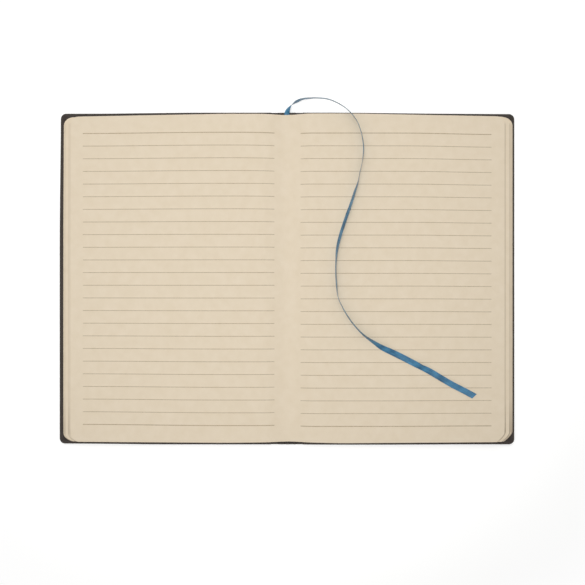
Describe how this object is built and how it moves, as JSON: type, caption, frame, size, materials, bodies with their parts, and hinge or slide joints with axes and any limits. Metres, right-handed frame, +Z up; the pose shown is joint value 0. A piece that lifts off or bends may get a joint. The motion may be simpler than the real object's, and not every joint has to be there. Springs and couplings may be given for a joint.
{
  "type": "casebound notebook",
  "caption": "Open casebound notebook with ruled cream leaves in two fanned stacks, a dark leatherette cover that folds along the spine, and a flat ribbon marker.",
  "frame": {"origin": "on the surface the book lies on, under the middle of the spine", "axes": "+X across the open book to the back cover's fore-edge, +Y along the spine to the head, +Z up from the open pages"},
  "size_m": [0.2886, 0.2188, 0.0118],
  "materials": {
    "leatherette": "fine matt grain",
    "greyboard": "plain",
    "paper": "uncoated cream",
    "endpaper": "uncoated cream",
    "ruling_ink": "matt print",
    "lining": "open weave gauze",
    "thread": "twisted cotton",
    "satin_ribbon": "satin"
  },
  "bodies": {
    "back_cover": {"back_board": "greyboard", "back_cover_skin": "leatherette", "back_endpaper": "endpaper", "right_leaves": "paper", "right_ruling": "ruling_ink", "ribbon_marker": "satin_ribbon"},
    "spine": {"spine_card": "greyboard", "spine_skin": "leatherette", "spine_lining": "lining", "section_folds": "paper", "sewing_thread": "thread"},
    "front_cover": {"front_board": "greyboard", "front_cover_skin": "leatherette", "front_endpaper": "endpaper", "left_leaves": "paper", "left_ruling": "ruling_ink"}
  },
  "joints": [
    {"name": "back_hinge", "type": "hinge", "parent": "back_cover", "child": "spine", "pos_m": [0.0071, 0, 0.0002], "axis": [0, 1, 0], "range_deg": [0, 90], "deforming": ["section_folds", "ribbon_marker"]},
    {"name": "front_hinge", "type": "hinge", "parent": "spine", "child": "front_cover", "pos_m": [-0.0071, 0, 0.0002], "axis": [0, 1, 0], "range_deg": [0, 90], "deforming": ["section_folds", "ribbon_marker"]}
  ]
}
